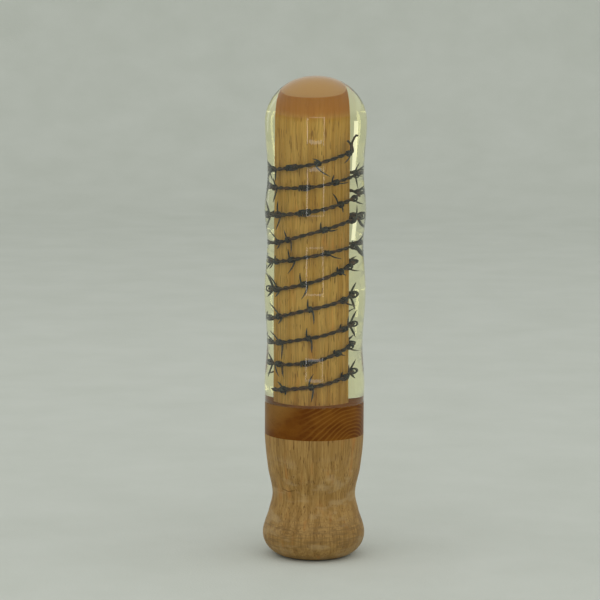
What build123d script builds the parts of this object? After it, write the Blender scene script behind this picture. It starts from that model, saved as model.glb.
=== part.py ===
from build123d import *

import os
from math import ceil, cos, floor, pi, radians, sin, tan

# A turned column that stands on a flat base: a beech foot, a dark wood collar and a clear resin
# casting with a domed top. A beech dowel stands in the resin, with a two-strand barbed wire wound
# round it, and its tenon runs down through the collar into a blind socket in the foot.
#
# Millimetres, +Z up. The origin is the centre of the flat base, and the front faces -Y.

# ---- foot: one turned beech block ---------------------------------------------------------------
base_flat_radius = 11.5         # the flat that the column stands on
bead_radius = 21.3              # widest part of the rounded foot
bead_height = 9.5               # height of that widest part
foot_waist_radius = 17.3
foot_waist_rise = 16.8          # from the bead to the waist
foot_flank_radius = 18.65       # halfway down the steep side between waist and bead
foot_flank_drop = 7.0           # from the waist down to there
foot_flare_radius = 19.3        # where the side above the waist turns nearly upright
foot_flare_rise = 10.9          # from the waist up to there
foot_shoulder_rise = 25.3       # from the waist to the foot's top

# ---- collar and the line where foot, collar and resin are turned flush ---------------------------
joint_radius = 20.6
collar_thickness = 13.5

# ---- resin casting ------------------------------------------------------------------------------
crest_radius = 21.0             # widest of the soft swellings
hollow_radius = 19.9            # narrowest of the three soft hollows between them
hollow_1_rise = 24.4            # from the collar to the lowest hollow
hollow_2_rise = 41.6            # from each hollow to the next
hollow_3_rise = 28.1
shoulder_rise = 21.8            # from the top hollow to where the dome begins
dome_height = 19.0
dome_fullness = 0.57            # 0.55 makes the dome a quarter ellipse, more makes it squarer
dome_flat_radius = 0.6          # polished flat at the very top

# ---- dowel --------------------------------------------------------------------------------------
dowel_radius = 10.0
dowel_offset = -1.0             # its axis stands this far to the left of the column's axis
dowel_cover = 10.0              # resin between the dowel's flat top and the top of the dome
dowel_chamfer = 0.3
tenon_length = 28.0             # length of dowel inside the foot
glue_gap = 0.05                 # radial room round the tenon in the foot and in the collar
socket_end_gap = 1.0            # room for glue under the tenon

# ---- line wire: two strands side by side in a right-hand winding --------------------------------
strand_diameter = 0.65
strand_gap = 0.04
wire_turns = 9.5
wire_start_angle = 180.0        # the winding starts at the column's left side
wire_bottom_gap = 4.0           # from the collar to the winding's lower end
wire_top_gap = 12.8             # from the winding's upper end to the start of the dome
wire_lift = 0.9                 # how much further the top turn stands off the dowel than the lowest

# ---- barbs --------------------------------------------------------------------------------------
barb_spacing_angle = 48.0
sleeve_length = 2.2             # the barb wire's wraps round the line wire
sleeve_wall = 0.65
sleeve_clearance = 0.1          # between the wraps and the strands
barb_dowel_gap = 0.05           # between the wraps and the dowel on the lowest turn
tail_diameter = 0.55
tail_length = 4.8
tail_taper = 2.6                # degrees, to a near point
tail_leans = ((12, 24), (-22, 8), (28, -14), (4, 32), (-16, -6))    # degrees, up tail and down tail

# ---- heights and radii worked out from the sizes above -------------------------------------------
waist_height = bead_height + foot_waist_rise
foot_height = waist_height + foot_shoulder_rise
collar_top = foot_height + collar_thickness
hollow_1 = collar_top + hollow_1_rise
hollow_2 = hollow_1 + hollow_2_rise
hollow_3 = hollow_2 + hollow_3_rise
dome_base = hollow_3 + shoulder_rise
column_height = dome_base + dome_height
dowel_top = column_height - dowel_cover
tenon_bottom = foot_height - tenon_length
bore_radius = dowel_radius + glue_gap

pair_radius = strand_diameter + strand_gap / 2
sleeve_bore = pair_radius + sleeve_clearance
sleeve_radius = sleeve_bore + sleeve_wall
wire_bottom = collar_top + wire_bottom_gap
wire_height = dome_base - wire_top_gap - wire_bottom
wire_pitch = wire_height / wire_turns
wire_radius = dowel_radius + barb_dowel_gap + sleeve_radius
barbs_per_turn = 360 / barb_spacing_angle
barb_count = floor(wire_turns * barbs_per_turn)


def winding(lift=0.0):
    """The winding's centre line, raised by lift along the column."""
    cone = Vector(wire_height, wire_lift, 0).get_angle(Vector(1, 0, 0))
    line = Helix(
        pitch=wire_pitch,
        height=wire_height,
        radius=wire_radius,
        center=(dowel_offset, 0, wire_bottom + lift),
        cone_angle=cone,
        mode=Mode.PRIVATE,
    )
    return line.rotate(Axis((dowel_offset, 0, 0), (0, 0, 1)), wire_start_angle)


def barb_place(number):
    """Plane of one barb: origin on the winding, x away from the column's axis, z along the wire."""
    turns = (number + 0.5) / barbs_per_turn
    angle = radians(wire_start_angle + 360 * turns)
    radius = wire_radius + wire_lift * turns / wire_turns
    outward = Vector(cos(angle), sin(angle), 0)
    along = Vector(-sin(angle), cos(angle), wire_pitch / (2 * pi * radius))
    centre = outward * radius + Vector(dowel_offset, 0, wire_bottom + wire_pitch * turns)
    return Plane(origin=centre, x_dir=outward, z_dir=along)


def barb(number):
    """One barb: wraps round both strands, with one tail up and one down."""
    place = barb_place(number)
    root_reach = (sleeve_length - tail_diameter) / 2
    root_radius = (sleeve_bore + sleeve_radius) / 2
    with BuildPart() as solid:
        with BuildSketch(place.offset(-sleeve_length / 2)):
            Circle(sleeve_radius)
            Circle(sleeve_bore, mode=Mode.SUBTRACT)
        extrude(amount=sleeve_length)
        for side, lean in zip((1, -1), tail_leans[number % len(tail_leans)]):
            root = place.from_local_coords(Vector(root_radius, 0, side * root_reach))
            rise = Vector(root_radius, side, side * root_reach + tan(radians(lean)))
            with BuildSketch(Plane(origin=root, z_dir=place.from_local_coords(rise) - root)):
                Circle(tail_diameter / 2)
            extrude(amount=tail_length, taper=tail_taper)
    return solid.part


os.makedirs("parts", exist_ok=True)

# ---- foot block ---------------------------------------------------------------------------------
with BuildPart() as foot_block:
    with BuildSketch(Plane.XZ):
        with BuildLine():
            base = Line((0, 0), (base_flat_radius, 0))
            bead = EllipticalCenterArc(
                (base_flat_radius, bead_height),
                bead_radius - base_flat_radius,
                bead_height,
                start_angle=-90,
                arc_size=90,
            )
            side = Spline(
                bead @ 1,
                (foot_flank_radius, waist_height - foot_flank_drop),
                (foot_waist_radius, waist_height),
                (foot_flare_radius, waist_height + foot_flare_rise),
                (joint_radius, foot_height),
                tangents=((0, 1), (0, 1)),
            )
            Polyline(side @ 1, (0, foot_height), base @ 0)
        make_face()
    revolve(axis=Axis.Z)
    with BuildSketch(Plane.XY.offset(foot_height)), Locations((dowel_offset, 0)):
        Circle(bore_radius)
    extrude(amount=-tenon_length - socket_end_gap, mode=Mode.SUBTRACT)
foot_block.part.label = "foot_block"
export_step(foot_block.part, "parts/foot_block.step")

# ---- collar -------------------------------------------------------------------------------------
with BuildPart() as collar_disc:
    with BuildSketch(Plane.XY.offset(foot_height)):
        Circle(joint_radius)
        with Locations((dowel_offset, 0)):
            Circle(bore_radius, mode=Mode.SUBTRACT)
    extrude(amount=collar_thickness)
collar_disc.part.label = "collar_disc"
export_step(collar_disc.part, "parts/collar_disc.step")

# ---- dowel --------------------------------------------------------------------------------------
with BuildPart() as core_rod:
    with BuildSketch(Plane.XY.offset(tenon_bottom)), Locations((dowel_offset, 0)):
        Circle(dowel_radius)
    extrude(amount=dowel_top - tenon_bottom)
    chamfer(core_rod.edges().filter_by(GeomType.CIRCLE), dowel_chamfer)
core_rod.part.label = "core_rod"
export_step(core_rod.part, "parts/core_rod.step")

# ---- line wire ----------------------------------------------------------------------------------
# The strands lie one above the other. Their spacing is square to the wire, so it is opened by the
# winding's slope when it is measured along the column.
slope = Vector(2 * pi * wire_radius, wire_pitch, 0).get_angle(Vector(1, 0, 0))
strand_lift = (strand_diameter + strand_gap) / 2 / cos(radians(slope))
for letter, side in (("a", 1), ("b", -1)):
    strand_line = winding(side * strand_lift)
    with BuildPart() as line_wire:
        with BuildSketch(Plane(origin=strand_line @ 0, z_dir=strand_line % 0)):
            Circle(strand_diameter / 2)
        sweep(path=strand_line, is_frenet=True)
    line_wire.part.label = f"line_wire_{letter}"
    export_step(line_wire.part, f"parts/line_wire_{letter}.step")

# ---- barbs, one node for each turn --------------------------------------------------------------
for turn in range(ceil(wire_turns)):
    numbers = [n for n in range(barb_count) if floor((n + 0.5) / barbs_per_turn) == turn]
    turn_barbs = [barb(number) for number in numbers]
    with BuildPart() as barbs:
        add(turn_barbs)
    barbs.part.label = f"barbs_turn_{turn + 1:02d}"
    export_step(barbs.part, f"parts/barbs_turn_{turn + 1:02d}.step")

# ---- resin casting ------------------------------------------------------------------------------
# It is cast round the dowel, the wires and the barbs. Only the dowel's space is cut out of it: the
# wires and barbs lie inside its solid, as inserts that it grips.
with BuildPart() as resin_casting:
    with BuildSketch(Plane.XZ):
        with BuildLine():
            floor_line = Line((0, collar_top), (joint_radius, collar_top))
            flank = Spline(
                floor_line @ 1,
                ((joint_radius + crest_radius) / 2, collar_top + hollow_1_rise / 3),
                (hollow_radius, hollow_1),
                (crest_radius, (hollow_1 + hollow_2) / 2),
                (hollow_radius, hollow_2),
                (crest_radius, (hollow_2 + hollow_3) / 2),
                (hollow_radius, hollow_3),
                (crest_radius, dome_base),
                tangents=((0, 1), (0, 1)),
            )
            dome = Bezier(
                flank @ 1,
                (crest_radius, dome_base + dome_fullness * dome_height),
                (dome_fullness * crest_radius, column_height),
                (dome_flat_radius, column_height),
            )
            Polyline(dome @ 1, (0, column_height), floor_line @ 0)
        make_face()
    revolve(axis=Axis.Z)
    with BuildSketch(Plane.XY.offset(collar_top)), Locations((dowel_offset, 0)):
        Circle(dowel_radius)
    extrude(amount=dowel_top - collar_top, mode=Mode.SUBTRACT)
resin_casting.part.label = "resin_casting"
export_step(resin_casting.part, "parts/resin_casting.step")

print(f"column {column_height:.1f} mm tall, winding pitch {wire_pitch:.2f} mm, {barb_count} barbs")
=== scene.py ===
from math import cos, pi, radians, sin

import bmesh
import bpy
from mathutils import Matrix, Vector
from mathutils.noise import noise


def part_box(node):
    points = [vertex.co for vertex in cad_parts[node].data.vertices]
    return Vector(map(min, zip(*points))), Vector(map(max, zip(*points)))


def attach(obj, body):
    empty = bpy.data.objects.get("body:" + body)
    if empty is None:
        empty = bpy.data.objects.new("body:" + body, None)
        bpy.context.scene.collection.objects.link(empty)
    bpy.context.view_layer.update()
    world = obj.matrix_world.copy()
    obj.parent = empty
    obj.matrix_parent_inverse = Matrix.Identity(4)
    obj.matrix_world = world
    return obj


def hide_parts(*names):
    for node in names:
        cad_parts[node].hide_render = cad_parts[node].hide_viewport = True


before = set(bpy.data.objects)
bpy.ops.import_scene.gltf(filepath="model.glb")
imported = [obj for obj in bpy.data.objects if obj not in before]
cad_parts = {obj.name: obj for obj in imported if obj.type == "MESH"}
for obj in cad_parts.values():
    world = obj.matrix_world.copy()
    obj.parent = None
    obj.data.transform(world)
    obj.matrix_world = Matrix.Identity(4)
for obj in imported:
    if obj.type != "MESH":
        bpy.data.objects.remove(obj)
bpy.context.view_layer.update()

MM = 0.001

# ---- camera -------------------------------------------------------------------------------------
# A long lens a metre in front of the column, a little above its top and looking slightly down.
# The camera leans a third of a degree, so that the column stands nearly upright in the frame.
camera_place = Vector((-6.2, -1050, 245.4)) * MM
camera_aim = Vector((-6.2, 0, 107.2)) * MM
camera_lens = 153.3
camera_lean = radians(0.3)

camera_data = bpy.data.cameras.new("camera")
camera_data.lens = camera_lens
camera_data.sensor_width = 36
camera_data.clip_end = 20
camera = bpy.data.objects.new("camera", camera_data)
bpy.context.collection.objects.link(camera)
look = (camera_aim - camera_place).to_track_quat("-Z", "Y")
camera.matrix_world = (
    Matrix.Translation(camera_place) @ look.to_matrix().to_4x4() @ Matrix.Rotation(camera_lean, 4, "Z")
)
bpy.context.scene.camera = camera
bpy.context.scene.view_settings.view_transform = "Standard"


# ---- studio: pale sweep, soft room light and a light tent's bright edges ------------------------
# A pale matt cloth that rises all round, an even room light, two large soft panels above left and
# right, and a narrow bright frame in front that shows as a thin upright outline in polished resin.
class Value:
    """A node's output that takes part in sums: each sum adds its Math node."""

    def __init__(self, nodes, socket):
        self.nodes = nodes
        self.socket = socket

    def __getitem__(self, name):
        return Value(self.nodes, self.socket.node.outputs[name])

    def __add__(self, other):
        return self.nodes.maths("ADD", self, other)

    def __sub__(self, other):
        return self.nodes.maths("SUBTRACT", self, other)

    def __rsub__(self, other):
        return self.nodes.maths("SUBTRACT", other, self)

    def __mul__(self, other):
        return self.nodes.maths("MULTIPLY", self, other)

    def __truediv__(self, other):
        return self.nodes.maths("DIVIDE", self, other)

    __radd__ = __add__
    __rmul__ = __mul__


class Nodes:
    """One node tree under construction."""

    def __init__(self, tree):
        self.tree = tree

    def add(self, kind, settings=None, out=0, **sockets):
        """A node of any kind: its settings first, then the values or links of its sockets.

        A socket is named as the node names it, with _ for a space, or by its number as s0, s1."""
        made = self.tree.nodes.new(kind)
        for key, value in (settings or {}).items():
            if key == "stops":
                for number, (place, colour) in enumerate(value):
                    stops = made.color_ramp.elements
                    stop = stops[number] if number < 2 else stops.new(place)
                    stop.position = place
                    stop.color = colour if len(colour) == 4 else (*colour, 1)
            else:
                setattr(made, key, value)
        for key, value in sockets.items():
            socket = made.inputs[int(key[1:])] if key[1:].isdigit() else made.inputs[key.replace("_", " ")]
            if isinstance(value, Value):
                self.tree.links.new(value.socket, socket)
            else:
                socket.default_value = value
        return Value(self, made.outputs[out]) if made.outputs else made

    def maths(self, operation, first, second=0.0):
        return self.add("ShaderNodeMath", {"operation": operation}, s0=first, s1=second)

    def mix(self, share, first, second):
        """First colour where share is 0, second where it is 1."""
        first, second = ((*c, 1) if isinstance(c, tuple) else c for c in (first, second))
        return self.add("ShaderNodeMix", {"data_type": "RGBA"}, 2, s0=share, s6=first, s7=second)

    def stretch(self, place, scale):
        return self.add("ShaderNodeVectorMath", {"operation": "MULTIPLY"}, s0=place, s1=scale)

    def noise(self, place, scale, detail=3.0, roughness=0.55):
        return self.add("ShaderNodeTexNoise", None, 0, Vector=place, Scale=scale, Detail=detail,
                        Roughness=roughness)

    def band(self, value, low, high):
        """0 below low, 1 above high and a smooth rise between them."""
        return self.add("ShaderNodeMapRange", {"interpolation_type": "SMOOTHSTEP"}, 0,
                        s0=value, s1=low, s2=high, s3=0.0, s4=1.0)


def finish(name):
    """A new empty material: its nodes and its output node."""
    material = bpy.data.materials.new(name)
    material.use_nodes = True
    material.node_tree.nodes.clear()
    nodes = Nodes(material.node_tree)
    return material, nodes, nodes.add("ShaderNodeOutputMaterial")


def millimetres(nodes):
    """The point on the object, in millimetres."""
    point = nodes.add("ShaderNodeTexCoord", None, "Object")
    return nodes.stretch(point, (1 / MM, 1 / MM, 1 / MM))


def put(name, mesh, *materials):
    """A smooth object of this mesh at the origin."""
    for material in materials:
        mesh.materials.append(material)
    mesh.polygons.foreach_set("use_smooth", [True] * len(mesh.polygons))
    thing = bpy.data.objects.new(name, mesh)
    bpy.context.collection.objects.link(thing)
    return thing


sweep_material, n, out = finish("pale_cloth")
point = millimetres(n)
nap = n.noise(point, 0.02, 4)
pile = n.noise(point, 0.9, 2)
colour = n.mix(nap, (0.52, 0.548, 0.49), (0.61, 0.635, 0.585))
shader = n.add("ShaderNodeBsdfPrincipled", None, 0, Base_Color=colour, Roughness=0.95,
               Normal=n.add("ShaderNodeBump", None, 0, Height=pile, Strength=0.25, Distance=0.0006))
n.tree.links.new(shader.socket, out.inputs["Surface"])

sweep_flat = 1.4            # metres from the column to where the cloth begins to rise, all round
sweep_bend = 0.6
sweep_sides = 96
sweep_rings = 16            # rings of faces in the bend
profile = [(0.05, 0.0), (0.3, 0.0), (sweep_flat, 0.0)]
for step in range(1, sweep_rings + 1):
    turn = radians(90 * step / sweep_rings)
    profile.append((sweep_flat + sweep_bend * sin(turn), sweep_bend * (1 - cos(turn))))
turns = [2 * pi * side / sweep_sides for side in range(sweep_sides)]
sweep_mesh = bpy.data.meshes.new("sweep")
sweep_mesh.from_pydata(
    [(0, 0, 0)] + [(reach * cos(turn), reach * sin(turn), z) for reach, z in profile for turn in turns],
    [],
    [(0, 1 + side, 1 + (side + 1) % sweep_sides) for side in range(sweep_sides)] + [
        (1 + row * sweep_sides + side,
         1 + (row + 1) * sweep_sides + side,
         1 + (row + 1) * sweep_sides + (side + 1) % sweep_sides,
         1 + row * sweep_sides + (side + 1) % sweep_sides)
        for row in range(len(profile) - 1) for side in range(sweep_sides)
    ],
)
sweep = put("sweep", sweep_mesh, sweep_material)

world = bpy.data.worlds.new("room")
bpy.context.scene.world = world
world.use_nodes = True
world.node_tree.nodes["Background"].inputs["Color"].default_value = (0.985, 1.0, 0.975, 1)
world.node_tree.nodes["Background"].inputs["Strength"].default_value = 0.66

column_middle = (0, 0, 0.11)


def panel(name, place, size, brightness, seen=True):
    """A soft rectangular light that faces the column; an unseen one leaves no reflection."""
    light = bpy.data.lights.new(name, "AREA")
    light.shape = "RECTANGLE"
    light.size, light.size_y = size
    light.energy = brightness * pi * size[0] * size[1]
    thing = bpy.data.objects.new(name, light)
    bpy.context.collection.objects.link(thing)
    thing.visible_glossy = seen
    place = Vector(place)
    turn = (Vector(column_middle) - place).to_track_quat("-Z", "Y").to_matrix().to_4x4()
    thing.matrix_world = Matrix.Translation(place) @ turn


panel("soft_left", (-1.35, -0.9, 1.1), (3.2, 2.2), 0.56, seen=False)
panel("soft_right", (1.30, -0.8, 1.0), (3.2, 2.2), 0.60, seen=False)
panel("tent_edge_left", (-0.22, -0.62, 0.19), (0.026, 0.30), 3.0)
panel("tent_edge_right", (0.20, -0.62, 0.19), (0.022, 0.30), 2.6)
panel("tent_edge_low", (-0.01, -0.64, 0.055), (0.34, 0.014), 1.8)
panel("tent_edge_top", (0.05, -0.62, 0.35), (0.40, 0.016), 2.0)
panel("tent_side", (-0.47, 0.55, 0.30), (0.10, 0.40), 0.55)

# ---- foot ---------------------------------------------------------------------------------------
# One beech block turned on a lathe: a small flat to stand on, a rounded bead, a waist and a
# straight rise to the collar. It is sanded and left nearly bare, so its flecks and pores show.
turned_sides = 192
sharp_angle = 35            # degrees between faces, above which an edge shows as a crisp line


def smooth_line(points, per_span=14):
    """A smooth line through (radius, height) points; it leaves and arrives upright."""
    line = []
    for i in range(len(points) - 1):
        before = points[i - 1] if i else None
        p, q = points[i], points[i + 1]
        after = points[i + 2] if i + 2 < len(points) else None
        rise = q[1] - p[1]
        slope_p = (q[0] - before[0]) / (q[1] - before[1]) if before else 0.0
        slope_q = (after[0] - p[0]) / (after[1] - p[1]) if after else 0.0
        for step in range(per_span):
            t = step / per_span
            radius = (
                (2 * t**3 - 3 * t**2 + 1) * p[0] + (t**3 - 2 * t**2 + t) * rise * slope_p
                + (3 * t**2 - 2 * t**3) * q[0] + (t**3 - t**2) * rise * slope_q
            )
            line.append((radius, p[1] + rise * t))
    line.append(points[-1])
    return line


def turned(name, outline, wave=None, sides=turned_sides):
    """A solid of revolution: outline runs from the axis or from a bore round to its start.

    Points are (radius, height) in millimetres, with the middle's shift along X as a third value
    for an off-centre bore. A point of no radius becomes one vertex."""
    verts, rows, faces = [], [], []
    for radius, height, *shift in outline:
        middle = shift[0] if shift else 0.0
        if radius < 1e-6:
            rows.append([len(verts)] * sides)
            verts.append((middle * MM, 0, height * MM))
            continue
        rows.append(list(range(len(verts), len(verts) + sides)))
        for side in range(sides):
            angle = 2 * pi * side / sides
            r = (radius + (wave(angle, height) if wave else 0.0)) * MM
            verts.append((middle * MM + r * cos(angle), r * sin(angle), height * MM))
    closed = outline[0][0] > 1e-6
    pairs = list(zip(rows, rows[1:] + rows[:1])) if closed else list(zip(rows, rows[1:]))
    for low, high in pairs:
        for side in range(sides):
            after = (side + 1) % sides
            corners = []
            for corner in (low[side], low[after], high[after], high[side]):
                if corner not in corners:
                    corners.append(corner)
            faces.append(corners)
    mesh = bpy.data.meshes.new(name)
    mesh.from_pydata(verts, [], faces)
    shape = bmesh.new()
    shape.from_mesh(mesh)
    bmesh.ops.recalc_face_normals(shape, faces=shape.faces)
    shape.to_mesh(mesh)
    shape.free()
    mesh.polygons.foreach_set("use_smooth", [True] * len(mesh.polygons))
    mesh.set_sharp_from_angle(angle=radians(sharp_angle))
    return mesh


foot_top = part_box("foot_block")[1][2] / MM
collar_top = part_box("collar_disc")[1][2] / MM
joint_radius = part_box("collar_disc")[1][0] / MM
dowel_radius = (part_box("core_rod")[1][0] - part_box("core_rod")[0][0]) / 2 / MM
dowel_middle = (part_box("core_rod")[1][0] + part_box("core_rod")[0][0]) / 2 / MM
dowel_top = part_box("core_rod")[1][2] / MM
tenon_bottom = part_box("core_rod")[0][2] / MM
bead_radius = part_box("foot_block")[1][0] / MM
column_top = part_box("resin_casting")[1][2] / MM
crest_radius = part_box("resin_casting")[1][0] / MM

base_flat_radius = 11.5
bead_height = 9.5
foot_flank = (18.65, 19.3)      # radius and height, halfway down the steep side under the waist
foot_waist = (17.3, 26.3)
foot_flare = (19.3, 37.2)       # where the side above the waist turns nearly upright
bead_rows = 16
glue_gap = 0.05
socket_end_gap = 1.0
bore_radius = dowel_radius + glue_gap
socket_bottom = tenon_bottom - socket_end_gap


def foot_outline():
    """The foot's outline, from the middle of the base out, up its side, and down the socket."""
    line = [(0, 0), (base_flat_radius * 0.6, 0)]
    for step in range(bead_rows + 1):
        turn = radians(90 * step / bead_rows)
        line.append((
            base_flat_radius + (bead_radius - base_flat_radius) * sin(turn),
            bead_height * (1 - cos(turn)),
        ))
    side = smooth_line([
        (bead_radius, bead_height), foot_flank, foot_waist, foot_flare, (joint_radius, foot_top),
    ])
    line += side[1:-1]
    line += [(joint_radius, foot_top)]
    m = dowel_middle
    line += [(bore_radius, foot_top, m), (bore_radius, socket_bottom, m), (0, socket_bottom, m)]
    return line


def lathe_marks(angle, height):
    """Fine tool marks and the faint unevenness of hand sanding, in millimetres."""
    hand = noise(Vector((cos(angle) * 1.4, sin(angle) * 1.4, height * 0.11)))
    marks = noise(Vector((0.3, 7.1, height * 1.9)))
    fade = min(1.0, max(0.0, height / 3), max(0.0, (foot_top - height) / 3))
    return fade * (0.05 * hand + 0.018 * marks - 0.03)


def beech(name, pale, deep, fleck_strength, gloss_roughness, gloss=0.35, top_tint=None, worn=0.0):
    """Beech: an ochre ground, soft upright growth bands, and short dark flecks along the grain."""
    material, n, out = finish(name)
    point = millimetres(n)
    bend = n.noise(n.stretch(point, (0.05, 0.05, 0.02)), 1.0, 2)
    spot = n.add("ShaderNodeVectorMath", {"operation": "ADD"}, 0, s0=point,
                 s1=n.stretch(bend["Color"], (3.0, 3.0, 0.0)))
    growth = n.noise(n.stretch(spot, (0.42, 0.42, 0.012)), 1.0, 3, 0.6)
    fine = n.noise(n.stretch(spot, (1.7, 1.7, 0.05)), 1.0, 3, 0.6)
    lines = n.band(n.noise(n.stretch(spot, (2.3, 2.3, 0.05)), 1.0, 2, 0.5), 0.58, 0.68)
    flecks = n.band(n.noise(n.stretch(spot, (2.1, 2.1, 0.20)), 1.0, 1, 0.4), 0.63, 0.72)
    pores = n.band(n.noise(n.stretch(spot, (4.2, 4.2, 0.42)), 1.0, 1, 0.5), 0.64, 0.74)
    dark = (deep[0] * 0.40, deep[1] * 0.30, deep[2] * 0.20)
    colour = n.mix(n.band(growth, 0.34, 0.66), pale, deep)
    colour = n.mix(n.band(fine, 0.36, 0.72) * 0.5, colour, tuple(c * 0.66 for c in deep))
    colour = n.mix(flecks * fleck_strength, colour, dark)
    colour = n.mix(pores * fleck_strength * 0.22, colour, dark)
    colour = n.mix(lines * fleck_strength * 0.55, colour, dark)
    warm = n.band(n.noise(n.stretch(point, (0.22, 0.22, 0.05)), 1.0, 2), 0.56, 0.74)
    colour = n.mix(warm * 0.6, colour, (pale[0] * 1.02, pale[1] * 0.72, pale[2] * 0.45))
    if top_tint:
        height = n.add("ShaderNodeSeparateXYZ", None, "Z", s0=point)
        edge = height + (n.noise(point, 0.12, 2) - 0.5) * 2.0
        low, high, tint = top_tint
        end_face = n.band(height, dowel_top - 0.35, dowel_top - 0.1)
        colour = n.mix(n.band(edge, low, high) * 0.85, colour, tint)
        colour = n.mix(end_face * 0.85, colour, (0.70, 0.42, 0.19))
    if worn:
        apart = n.add("ShaderNodeSeparateXYZ", None, 0, s0=point)
        height = apart["Z"]
        front = n.band(n.maths("MULTIPLY", apart["Y"], -1.0), 2.0, 6.0)
        bead = (1 - n.band(height, 13.0, 22.0)) * n.band(height, 2.0, 8.0)
        smear = n.noise(n.stretch(point, (0.16, 0.16, 0.9)), 1.0, 4, 0.65)
        colour = n.mix((n.band(smear, 0.44, 0.62) * 0.8 + 0.2) * bead * worn, colour, (0.17, 0.098, 0.034))
        tool = n.noise(n.stretch(point, (0.04, 0.04, 2.6)), 1.0, 2)
        colour = n.mix(n.band(tool, 0.52, 0.70) * bead * worn * 0.8, colour, (0.17, 0.095, 0.034))
        rub = n.noise(n.stretch(point, (0.09, 0.09, 0.22)), 1.0, 3)
        colour = n.mix(n.band(rub, 0.50, 0.68) * (1 - n.band(height, 38.0, 46.0)) * 0.4, colour,
                       (0.46, 0.33, 0.165))
        side = (apart["X"] + 11.0) / 2.2
        above = height - 12.5
        swirl = n.maths("SQRT", side * side + above * above)
        loops = n.band(n.maths("SINE", swirl * 6.0), 0.2, 1.0) * (1 - n.band(swirl, 1.4, 3.6)) * front
        colour = n.mix(loops * 0.34, colour, dark)
        chip = n.maths("ABSOLUTE", apart["X"] + 10.5)
        cleft = n.maths("ABSOLUTE", height - 29.2 - chip * 0.34)
        notch = (1 - n.band(cleft, 0.10, 0.36)) * (1 - n.band(chip, 2.0, 3.0))
        colour = n.mix(notch * front * 0.6, colour, dark)
    height_map = fine * 0.5 + flecks * -0.8 + pores * -0.6
    bump = n.add("ShaderNodeBump", None, 0, Height=height_map, Strength=0.5, Distance=0.00012)
    rough = n.noise(point, 0.8, 2) * 0.16 + gloss_roughness
    shader = n.add("ShaderNodeBsdfPrincipled", None, 0, Base_Color=colour, Roughness=rough, Normal=bump,
                   Specular_IOR_Level=gloss)
    n.tree.links.new(shader.socket, out.inputs["Surface"])
    return material


beech_foot = beech(
    "beech_foot", (0.42, 0.250, 0.076), (0.29, 0.158, 0.038),
    fleck_strength=0.70, gloss_roughness=0.42, gloss=0.25, worn=0.6,
)
foot = put("turned_foot", turned("turned_foot", foot_outline(), lathe_marks), beech_foot)
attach(foot, "root")
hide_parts("foot_block")

# ---- collar -------------------------------------------------------------------------------------
# A disc of dark wood between foot and resin, turned flush with both. Its grain lies across the
# column, so growth rings show as nested arcs at the front right and as long lines elsewhere.


def collar_outline():
    """The disc's outline, from the foot of its off-centre bore out, up its side, and back in."""
    r, b, m = joint_radius, bore_radius, dowel_middle
    middle = (foot_top + collar_top) / 2
    return [(b, foot_top, m), (r, foot_top), (r, middle), (r, collar_top), (b, collar_top, m)]


def dark_wood(name, heart, band, pale, log_turn, pith_height, ring_pitch, gloss):
    """Dark wood with its log lying across the column: rings round a level line at pith_height."""
    material, n, out = finish(name)
    point = millimetres(n)
    sway = n.noise(n.stretch(point, (0.07, 0.07, 0.07)), 1.0, 2)
    spot = n.add("ShaderNodeVectorMath", {"operation": "ADD"}, 0, s0=point,
                 s1=n.stretch(sway["Color"], (2.4, 2.4, 2.4)))
    apart = n.add("ShaderNodeSeparateXYZ", None, 0, s0=spot)
    across = apart["X"] * cos(log_turn) + apart["Y"] * sin(log_turn)
    above = apart["Z"] - pith_height
    ring = n.maths("SQRT", across * across + above * above)
    wave = n.maths("SINE", ring * (2 * pi / ring_pitch))
    late = n.band(wave, 0.05, 0.95)
    along = apart["X"] * -sin(log_turn) + apart["Y"] * cos(log_turn)
    end_grain = n.band(n.maths("MULTIPLY", along, -1.0), 5.0, 15.0)
    shade = n.noise(n.stretch(point, (0.10, 0.10, 0.16)), 1.0, 3)
    colour = n.mix(n.band(shade, 0.38, 0.66), heart, band)
    colour = n.mix(late * (end_grain * 0.50 + 0.06), colour, pale)
    left = n.band(n.maths("MULTIPLY", apart["X"], -1.0) + apart["Z"] * 0.9, 62.0, 74.0)
    colour = n.mix(left * 0.55, colour, (0.30, 0.165, 0.045))
    grain = n.noise(n.stretch(spot, (0.8, 0.8, 5.5)), 1.0, 2)
    colour = n.mix(n.band(grain, 0.55, 0.72) * 0.35, colour, tuple(c * 0.45 for c in heart))
    bump = n.add("ShaderNodeBump", None, 0, Height=grain + late * 0.4, Strength=0.25, Distance=0.00006)
    rough = n.noise(point, 0.7, 2) * 0.12 + 0.26
    shader = n.add("ShaderNodeBsdfPrincipled", None, 0, Base_Color=colour, Roughness=rough, Normal=bump,
                   Specular_IOR_Level=gloss)
    n.tree.links.new(shader.socket, out.inputs["Surface"])
    return material


# The second copy, for the top face under the resin, has the same wood painted much lighter: painted light
# standing in for the light the resin keeps from that face.
collar_wood, collar_face_painted_lighter = (
    dark_wood(name, heart, band, pale, log_turn=radians(55), pith_height=46.0, ring_pitch=1.55, gloss=gloss)
    for name, gloss, heart, band, pale in (
        ("dark_collar", 0.06, (0.125, 0.036, 0.003), (0.180, 0.062, 0.006), (0.27, 0.115, 0.018)),
        ("dark_collar_painted_lighter_in_resin", 0.0, (0.34, 0.125, 0.015), (0.42, 0.17, 0.03), (0.5, 0.22, 0.05)),
    )
)
collar = put("collar_ring", turned("collar_ring", collar_outline()), collar_wood, collar_face_painted_lighter)
for face in collar.data.polygons:       # the top face is wetted by the resin and has no gloss, and its wood is painted much lighter as painted light
    face.material_index = int(face.normal.z > 0.9)
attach(collar, "root")
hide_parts("collar_disc")

# ---- dowel --------------------------------------------------------------------------------------
# A beech dowel that stands in the resin. Its tenon is glued through the collar into the foot, and
# its sawn end is flat. The wood turns a deeper orange over the dowel's top few millimetres.
dowel_chamfer = 0.3
dowel_rows = 24


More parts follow.
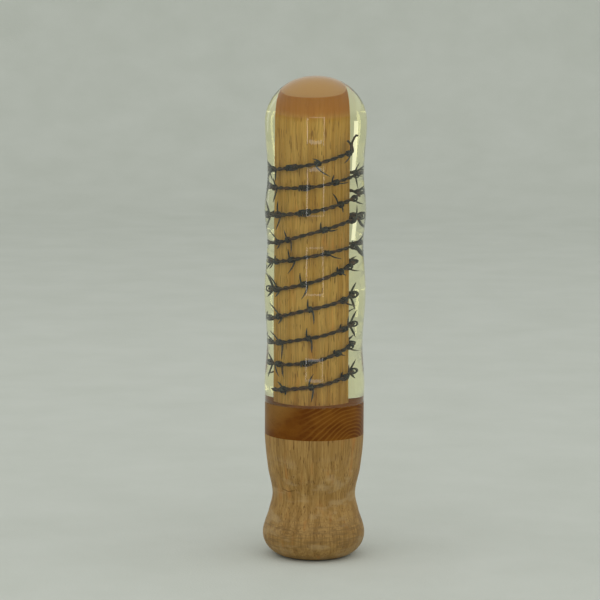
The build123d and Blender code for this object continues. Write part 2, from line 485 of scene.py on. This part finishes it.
def dowel_outline():
    """The dowel's outline, from the middle of the tenon's end to the middle of its top."""
    r, e = dowel_radius, dowel_chamfer
    span = dowel_top - tenon_bottom - 2 * e
    line = [(0, tenon_bottom), (r - e, tenon_bottom), (r, tenon_bottom + e)]
    line += [(r, tenon_bottom + e + span * (i + 1) / dowel_rows) for i in range(dowel_rows)]
    line += [(r - e, dowel_top), (r * 0.5, dowel_top), (0, dowel_top)]
    return [(radius, height, dowel_middle) for radius, height in line]


beech_dowel = beech(
    "beech_dowel", (0.84, 0.535, 0.150), (0.66, 0.36, 0.070),
    fleck_strength=0.75, gloss_roughness=0.45, gloss=0.0,
    top_tint=(dowel_top - 9.0, dowel_top - 5.0, (0.56, 0.20, 0.006)),
)
dowel = put("wound_dowel", turned("wound_dowel", dowel_outline(), sides=128), beech_dowel)
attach(dowel, "root")
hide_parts("core_rod")

# ---- line wire ----------------------------------------------------------------------------------
# Two strands of thin iron wire twisted together and wound round the dowel by hand, rising from left
# to right at the front. The lower turns lie tight on the wood, and the upper ones stand off it.
left_heights = (70.6, 80.7, 90.0, 101.0, 111.8, 123.2, 131.5, 143.2, 153.8, 162.0)
front_heights = (72.9, 83.0, 93.6, 105.5, 116.1, 127.0, 137.0, 145.2, 155.4, 165.0)
right_heights = (76.5, 88.6, 97.9, 109.4, 121.8, 130.8, 142.0, 150.0, 159.6, 169.8)
last_turn = 9.45            # turns are counted from the column's left
tight_radius = dowel_radius + 0.95
loose_radius = dowel_radius + 2.3
loose_shift = 0.65          # the loose turns stand further off at the column's right than at its left
loosening = (4.4, 5.6)      # turns between which the winding leaves the wood
strand_diameter = 0.82
strand_twist = 6.4          # length of wire in which the strands turn once round each other
path_steps = 72             # edges in one turn of the winding

winding_rise = smooth_line([
    (height, number + part)
    for number, heights in enumerate(zip(left_heights, front_heights, right_heights))
    for height, part in zip(heights, (0, 0.25, 0.5))
])


def winding_point(turn):
    """The wire's centre after this many turns from the column's left, in millimetres."""
    after = next(i for i, (height, place) in enumerate(winding_rise) if place > turn)
    (low, here), (high, there) = winding_rise[after - 1], winding_rise[after]
    height = low + (high - low) * (turn - here) / (there - here)
    angle = pi + 2 * pi * turn
    loose = min(max((turn - loosening[0]) / (loosening[1] - loosening[0]), 0.0), 1.0)
    loose = loose * loose * (3 - 2 * loose)
    radius = tight_radius + (loose_radius + loose_shift * cos(angle) - tight_radius) * loose
    radius += 0.16 * noise(Vector((turn * 5.3, 1.7, 0.4))) * (0.4 + loose)
    height += 0.30 * noise(Vector((turn * 4.1, 8.2, 3.3)))
    return Vector((dowel_middle + radius * cos(angle), radius * sin(angle), height)) * MM


def winding_path(loose_end):
    """The winding as a line of short edges, with one strand's loose end after the last turn."""
    count = int(last_turn * path_steps)
    points = [winding_point(last_turn * i / count) for i in range(count + 1)]
    points += [points[-1] + Vector(step) * MM for step in loose_end]
    mesh = bpy.data.meshes.new("winding_path")
    mesh.from_pydata(points, [(i, i + 1) for i in range(len(points) - 1)], [])
    return mesh


def iron(name, dark, worn, rust, rust_share):
    """Drawn iron wire: blue-black, dull, with thin brown rust in patches."""
    material, n, out = finish(name)
    point = millimetres(n)
    patch = n.band(n.noise(point, 0.33, 4, 0.6), 0.62 - rust_share * 0.3, 0.74 - rust_share * 0.2)
    grime = n.band(n.noise(point, 1.9, 3), 0.4, 0.7)
    colour = n.mix(grime, dark, worn)
    colour = n.mix(patch * 0.8, colour, rust)
    bump = n.add("ShaderNodeBump", None, 0, Height=n.noise(point, 4.0, 3), Strength=0.4, Distance=0.00005)
    shader = n.add("ShaderNodeBsdfPrincipled", None, 0, Base_Color=colour, Normal=bump,
                   Roughness=patch * 0.35 + 0.42, Metallic=(1 - patch) * 0.55)
    n.tree.links.new(shader.socket, out.inputs["Surface"])
    return material


wire_iron = iron("wire_iron", (0.034, 0.030, 0.022), (0.078, 0.074, 0.058), (0.120, 0.060, 0.026), 0.55)


class Tree(Nodes):
    """A Geometry Nodes tree with named inputs, which ends in Realize Instances and Set Material."""

    def __init__(self, name):
        super().__init__(bpy.data.node_groups.new(name, "GeometryNodeTree"))
        self.identifiers = {}
        self.tree.interface.new_socket("Geometry", in_out="INPUT", socket_type="NodeSocketGeometry")
        self.tree.interface.new_socket("Geometry", in_out="OUTPUT", socket_type="NodeSocketGeometry")
        self.inlet = self.tree.nodes.new("NodeGroupInput")
        self.outlet = self.tree.nodes.new("NodeGroupOutput")

    def size(self, name, kind="NodeSocketFloat"):
        """A named input of the tree."""
        made = self.tree.interface.new_socket(name, in_out="INPUT", socket_type=kind)
        self.identifiers[name] = made.identifier
        return Value(self, self.inlet.outputs[name])

    def geometry(self):
        return Value(self, self.inlet.outputs["Geometry"])

    def vector(self, operation, first, second=None, scale=None):
        sockets = {"s0": first}
        if second is not None:
            sockets["s1"] = second
        if scale is not None:
            sockets["Scale"] = scale
        return self.add("ShaderNodeVectorMath", {"operation": operation}, "Vector", **sockets)

    def end(self, geometry, material):
        whole = self.add("GeometryNodeRealizeInstances", None, 0, Geometry=geometry)
        painted = self.add("GeometryNodeSetMaterial", None, 0, Geometry=whole, Material=material)
        self.tree.links.new(painted.socket, self.outlet.inputs["Geometry"])

    def grow(self, name, mesh, material, **sizes):
        """Runs the tree on a mesh and returns the result as a plain object."""
        seed = bpy.data.objects.new(name + "_seed", mesh)
        bpy.context.collection.objects.link(seed)
        modifier = seed.modifiers.new("grow", "NODES")
        modifier.node_group = self.tree
        for key, value in sizes.items():
            modifier[self.identifiers[key.replace("_", " ")]] = value
        bpy.context.view_layer.update()
        evaluated = seed.evaluated_get(bpy.context.evaluated_depsgraph_get())
        grown = bpy.data.meshes.new_from_object(evaluated)
        grown.name = name
        seed.modifiers.remove(modifier)
        bpy.data.objects.remove(seed)
        grown.materials.clear()
        return put(name, grown, material)


strand_tree = Tree("strand")
strand_size = strand_tree.size("strand diameter")
twist_length = strand_tree.size("twist length")
twist_start = strand_tree.size("twist start")
t = strand_tree
line = t.add("GeometryNodeMeshToCurve", None, 0, Mesh=t.geometry())
line = t.add("GeometryNodeResampleCurve", {"mode": "LENGTH"}, 0, Curve=line, Length=0.32 * MM)
reach = t.add("GeometryNodeSplineParameter", None, "Length")
turn = reach / twist_length * (2 * pi) + twist_start
tangent = t.add("GeometryNodeInputTangent")
outward = t.vector("SUBTRACT", t.add("GeometryNodeInputPosition"), (dowel_middle * MM, 0, 0))
outward = t.vector("NORMALIZE", t.vector("MULTIPLY", outward, (1, 1, 0)))
upward = t.vector("NORMALIZE", t.vector("CROSS_PRODUCT", tangent, outward))
shift = t.vector("ADD", t.vector("SCALE", outward, scale=t.maths("COSINE", turn) * strand_size * 0.5),
                 t.vector("SCALE", upward, scale=t.maths("SINE", turn) * strand_size * 0.5))
line = t.add("GeometryNodeSetPosition", None, 0, Geometry=line, Offset=shift)
ring = t.add("GeometryNodeCurvePrimitiveCircle", {"mode": "RADIUS"}, 0, Resolution=9,
             Radius=strand_size * 0.5)
tube = t.add("GeometryNodeCurveToMesh", None, 0, Curve=line, Profile_Curve=ring, Fill_Caps=True)
strand_tree.end(tube, wire_iron)

# Above the last turn the two strands part: one stands up with a small hook, the other leans left.
loose_ends = {
    "a": ((0.1, 0.1, 1.0), (0.3, 0.5, 3.4), (0.4, 0.7, 6.0), (1.0, 1.0, 7.1), (2.4, 1.4, 6.8)),
    "b": ((0.0, 0.0, 1.0), (-0.5, -0.4, 2.7), (-1.4, -1.2, 4.6)),
}
for letter, start in (("a", 0.0), ("b", pi)):
    strand = strand_tree.grow(
        f"strand_{letter}", winding_path(loose_ends[letter]), wire_iron,
        strand_diameter=strand_diameter * MM, twist_length=strand_twist * MM, twist_start=start,
    )
    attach(strand, "root")
    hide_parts(f"line_wire_{letter}")

# ---- barbs --------------------------------------------------------------------------------------
# Short pieces of thinner wire, wrapped two or three times round both strands, with their two cut
# ends left standing as points. They sit about 10 mm apart, and hand work bent each differently.
barb_diameter = 0.60
barb_step = 47.5            # degrees round the dowel
wrap_pitch = 0.66
wrap_steps = 16             # edges in one wrap
tail_steps = 8
wrap_lift = 0.3             # the wraps are pressed outward where the wire lies tight on the wood

# Each kind of barb: how far its two cut ends reach along the wire and up from it, in millimetres,
# and how many times it is wrapped.
barb_kinds = (
    ((0.6, 4.3), (0.1, -6.2), 2),       # 0 an upright cross
    ((1.3, 5.4), (-1.3, -5.8), 2),      # 1 a slanting cross
    ((-2.1, 3.2), (2.6, 4.8), 2.5),     # 2 both ends up
    ((-2.8, 5.7), (0.1, -3.2), 2),      # 3 long and leaning left above, short below
    ((-3.8, 5.4), (1.0, -7.4), 3),      # 4 the longest
    ((-0.9, 1.9), (4.3, -3.5), 2),      # 5 a stub above, long to the right below
    ((0.1, 4.7), (-2.4, -5.4), 3),      # 6 upright above, leaning left below
    ((-1.5, 3.1), (1.3, -2.3), 2),      # 7 two short ends
    ((-0.6, 3.6), (4.6, -1.3), 3),      # 8 upright above, nearly level to the right
    ((0.8, -5.2), (3.2, -5.2), 2.5),    # 9 both ends down
    ((-4.2, -3.0), (0.7, 2.4), 2),      # 10 long to the left below
    ((-2.6, 3.0), (0.6, -1.6), 3),      # 11 curled over to the left
    ((1.0, 1.0), (-1.2, -1.1), 5),      # 12 a long tight wrap with stubs
    ((3.4, -6.6), (-0.9, 2.2), 3),      # 13 a long bent end below
)

# The barbs that show at the front, turn by turn: degrees to the right of the front, and the kind.
front_barbs = (
    ((-57, 7), (-1, 1), (67, 2)),
    ((-69, 9), (-10, 12), (50, 11), (86, 5)),
    ((-69, 4), (-6, 0), (64, 2)),
    ((-69, 3), (-3.5, 0), (64, 5)),
    ((-77, 3), (-15, 6), (55, 7), (80, 5)),
    ((-76, 10), (-38, 6), (25, 5), (78, 7)),
    ((-71, 3), (-45, 0), (19, 8), (74, 2)),
    ((-69, 1), (-14, 12), (47, 3), (79, 5)),
    ((-82, 0), (-14, 12), (38, 8), (86, 1)),
    ((-88, 9), (-38, 12), (7.5, 13), (63, 10)),
)


def tube(shape, points, radius, sides=8):
    """A round wire along points, cut to a point at both ends, added to a bmesh."""
    rings = []
    count = len(points)
    across = Vector((0, 1, 0.2))
    angles = [2 * pi * k / sides for k in range(sides)]
    for i, place in enumerate(points):
        ahead = (points[min(i + 1, count - 1)] - points[max(i - 1, 0)]).normalized()
        across = (across - ahead * across.dot(ahead)).normalized()
        over = ahead.cross(across)
        edge = min(i, count - 1 - i)
        size = radius * min(1.0, 0.25 + 0.35 * edge)
        rings.append([shape.verts.new(place + (across * cos(a) + over * sin(a)) * size) for a in angles])
    for low, high in zip(rings, rings[1:]):
        for k in range(sides):
            shape.faces.new((low[k], low[(k + 1) % sides], high[(k + 1) % sides], high[k]))
    shape.faces.new(list(reversed(rings[0])))
    shape.faces.new(rings[-1])


def tail(root, heading, tip, curl):
    """A cut end: it leaves the wrap along heading and bends over to tip."""
    reach = (tip - root).length
    knee = root + heading * reach * 0.35 + Vector((0.1, 0, 0)) * reach
    hook = tip + Vector((0.0, 1.0, -0.4)) * curl
    line = []
    for i in range(1, tail_steps + 1):
        s = i / tail_steps
        line.append(root * (1 - s) ** 2 + knee * 2 * s * (1 - s) + (tip * (1 - s) + hook * s) * s * s)
    return line


def barb_mesh(kind):
    """One barb round a wire along Y, with the column's axis towards -X and up towards Z."""
    first_end, last_end, wraps = barb_kinds[kind]
    wrap_radius = strand_diameter * 0.92 + barb_diameter * 0.5
    pitch = wrap_pitch * (1.35 if wraps > 4 else 1.0)
    begin = 0.0 if first_end[1] < 0 else pi
    end = begin + 2 * pi * wraps
    if cos(end) * last_end[1] < 0:
        end += pi
    steps = round((end - begin) / (2 * pi) * wrap_steps)
    length = pitch * (end - begin) / (2 * pi)
    wrap = []
    for i in range(steps + 1):
        angle = begin + (end - begin) * i / steps
        wobble = 1 + 0.10 * noise(Vector((angle * 0.7, kind * 2.3, 0.6)))
        wrap.append(Vector((
            wrap_lift + wrap_radius * wobble * cos(angle),
            length * (i / steps - 0.5),
            wrap_radius * wobble * sin(angle),
        )))
    outward = 0.5 + 0.5 * noise(Vector((kind * 1.7, 3.1, 0.2)))
    curl = 1.6 if kind == 11 else 0.9 * noise(Vector((kind * 2.9, 0.4, 7.7)))
    first_tip = Vector((outward + 0.6, first_end[0], first_end[1]))
    last_tip = Vector((outward + 0.4, last_end[0], last_end[1]))
    first_way = Vector((0, 0, -cos(begin)))
    last_way = Vector((0, 0, cos(end)))
    line = tail(wrap[0], first_way, first_tip, curl)[::-1] + wrap + tail(wrap[-1], last_way, last_tip, curl)
    shape = bmesh.new()
    tube(shape, [p * MM for p in line], barb_diameter / 2 * MM)
    bmesh.ops.recalc_face_normals(shape, faces=shape.faces)
    mesh = bpy.data.meshes.new(f"barb_kind_{kind}")
    shape.to_mesh(mesh)
    shape.free()
    mesh.polygons.foreach_set("use_smooth", [True] * len(mesh.polygons))
    return mesh


barb_iron = iron("barb_iron", (0.034, 0.042, 0.042), (0.105, 0.118, 0.110), (0.11, 0.060, 0.030), 0.30)
kind_shelf = bpy.data.collections.new("barb_kinds")
for kind in range(len(barb_kinds)):
    kind_shelf.objects.link(bpy.data.objects.new(f"barb_kind_{kind:02d}", barb_mesh(kind)))

barb_tree = Tree("barbs")
t = barb_tree
shelf = t.size("kinds", "NodeSocketCollection")
choice = t.add("GeometryNodeInputNamedAttribute", {"data_type": "INT"}, 0, Name="kind")
along = t.add("GeometryNodeInputNamedAttribute", {"data_type": "FLOAT_VECTOR"}, 0, Name="along")
outward = t.vector("SUBTRACT", t.add("GeometryNodeInputPosition"), (dowel_middle * MM, 0, 0))
outward = t.vector("NORMALIZE", t.vector("MULTIPLY", outward, (1, 1, 0)))
kinds = t.add("GeometryNodeCollectionInfo", {"transform_space": "ORIGINAL"}, 0, Collection=shelf,
              Separate_Children=True, Reset_Children=True)
facing = t.add("FunctionNodeAlignRotationToVector", {"axis": "Y"}, 0, Vector=along)
facing = t.add("FunctionNodeAlignRotationToVector", {"axis": "X", "pivot_axis": "Y"}, 0, Rotation=facing,
               Vector=outward)
points = t.add("GeometryNodeMeshToPoints", None, 0, Mesh=t.geometry())
placed = t.add("GeometryNodeInstanceOnPoints", None, 0, Points=points, Instance=kinds, Rotation=facing,
               Pick_Instance=True, Instance_Index=choice)
barb_tree.end(placed, barb_iron)


def barb_points(number):
    """The barbs of one turn as points on the wire, with the way along it and the kind of each."""
    barbs = [(number + 0.25 + angle / 360, kind) for angle, kind in front_barbs[number]]
    behind = barbs[-1][0]
    if number + 1 < len(front_barbs):
        ahead = number + 1.25 + front_barbs[number + 1][0][0] / 360
        count = round((ahead - behind) * 360 / barb_step)
        barbs += [(behind + (ahead - behind) * i / count, (number * 5 + i * 3) % 12) for i in range(1, count)]
    turns = [turn for turn, kind in barbs]
    mesh = bpy.data.meshes.new(f"barb_points_{number}")
    mesh.from_pydata([winding_point(turn) for turn in turns], [], [])
    ways = [winding_point(turn + 0.004) - winding_point(turn - 0.004) for turn in turns]
    values = [part for way in ways for part in way.normalized()]
    mesh.attributes.new("along", "FLOAT_VECTOR", "POINT").data.foreach_set("vector", values)
    mesh.attributes.new("kind", "INT", "POINT").data.foreach_set("value", [kind for turn, kind in barbs])
    return mesh


for number in range(len(front_barbs)):
    name = f"barbs_turn_{number + 1:02d}"
    turn_barbs = barb_tree.grow(f"twisted_{name}", barb_points(number), barb_iron, kinds=kind_shelf)
    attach(turn_barbs, "root")
    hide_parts(name)

# ---- resin --------------------------------------------------------------------------------------
# Clear casting resin poured round the dowel and the wire, then turned, sanded and polished: three
# soft hollows and a domed top. It is faintly yellow where it is seen through its full depth.
resin_seat = 0.05           # how far the casting reaches into the collar's top face
seat_edge_inset = 0.005
seat_edge_rise = 0.02
hollow_radius = 19.9
hollow_rises = (24.4, 41.6, 28.1)       # from the collar to the lowest hollow, and from each to the next
shoulder_rise = 21.8                    # from the top hollow to where the dome begins
dome_fullness = 0.57                    # 0.55 makes the dome a quarter ellipse, more makes it squarer
dome_rows = 32
absorbed_at = 20.0                      # density of the faint yellow


def resin_outline():
    """The casting's outer skin, from the middle of its seat round to the middle of the dome."""
    seat = collar_top - resin_seat
    hollow, crest = hollow_radius, crest_radius
    hollow_1 = collar_top + hollow_rises[0]
    hollow_2 = hollow_1 + hollow_rises[1]
    hollow_3 = hollow_2 + hollow_rises[2]
    dome_base = hollow_3 + shoulder_rise
    side = smooth_line([
        (joint_radius, collar_top + seat_edge_rise), (joint_radius + 0.2, collar_top + hollow_rises[0] / 3),
        (hollow, hollow_1), (crest, (hollow_1 + hollow_2) / 2), (hollow, hollow_2),
        (crest, (hollow_2 + hollow_3) / 2), (hollow, hollow_3), (crest, dome_base),
    ], per_span=18)
    line = [(0, seat), (joint_radius - seat_edge_inset, seat)] + side
    dome_side = dome_base + dome_fullness * (column_top - dome_base)
    for step in range(1, dome_rows + 1):
        t = step / dome_rows
        a, b, c, d = (1 - t) ** 3, 3 * t * (1 - t) ** 2, 3 * t * t * (1 - t), t**3
        line.append((
            a * crest + b * crest + c * crest * dome_fullness,
            a * dome_base + b * dome_side + (c + d) * column_top,
        ))
    line[-1] = (0, column_top)
    return line


def polish_wave(angle, height):
    """The faint waviness left by sanding and polishing, in millimetres."""
    fade = min(1.0, max(0.0, (height - collar_top - 0.5) / 4), max(0.0, (column_top - height) / 6))
    return fade * (0.05 * noise(Vector((cos(angle) * 1.3, sin(angle) * 1.3, height * 0.07))) - 0.035)


clear_resin, n, out = finish("clear_resin")
point = millimetres(n)
scuff = n.noise(n.stretch(point, (0.5, 0.5, 0.12)), 1.0, 3)
ripple = n.add("ShaderNodeBump", None, 0, Height=n.noise(point, 0.11, 2), Strength=0.12, Distance=0.0002)
shader = n.add("ShaderNodeBsdfPrincipled", None, 0, Base_Color=(1.0, 1.0, 0.985, 1.0), IOR=1.55,
               Roughness=n.band(scuff, 0.55, 0.85) * 0.03, Normal=ripple)
shader.socket.node.inputs["Transmission Weight"].default_value = 1.0
absorb = n.add("ShaderNodeVolumeAbsorption", None, 0, Color=(0.965, 0.925, 0.34, 1.0), Density=absorbed_at)
n.tree.links.new(shader.socket, out.inputs["Surface"])
n.tree.links.new(absorb.socket, out.inputs["Volume"])

casting = put("resin_body", turned("resin_body", resin_outline(), polish_wave), clear_resin)
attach(casting, "root")
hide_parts("resin_casting")
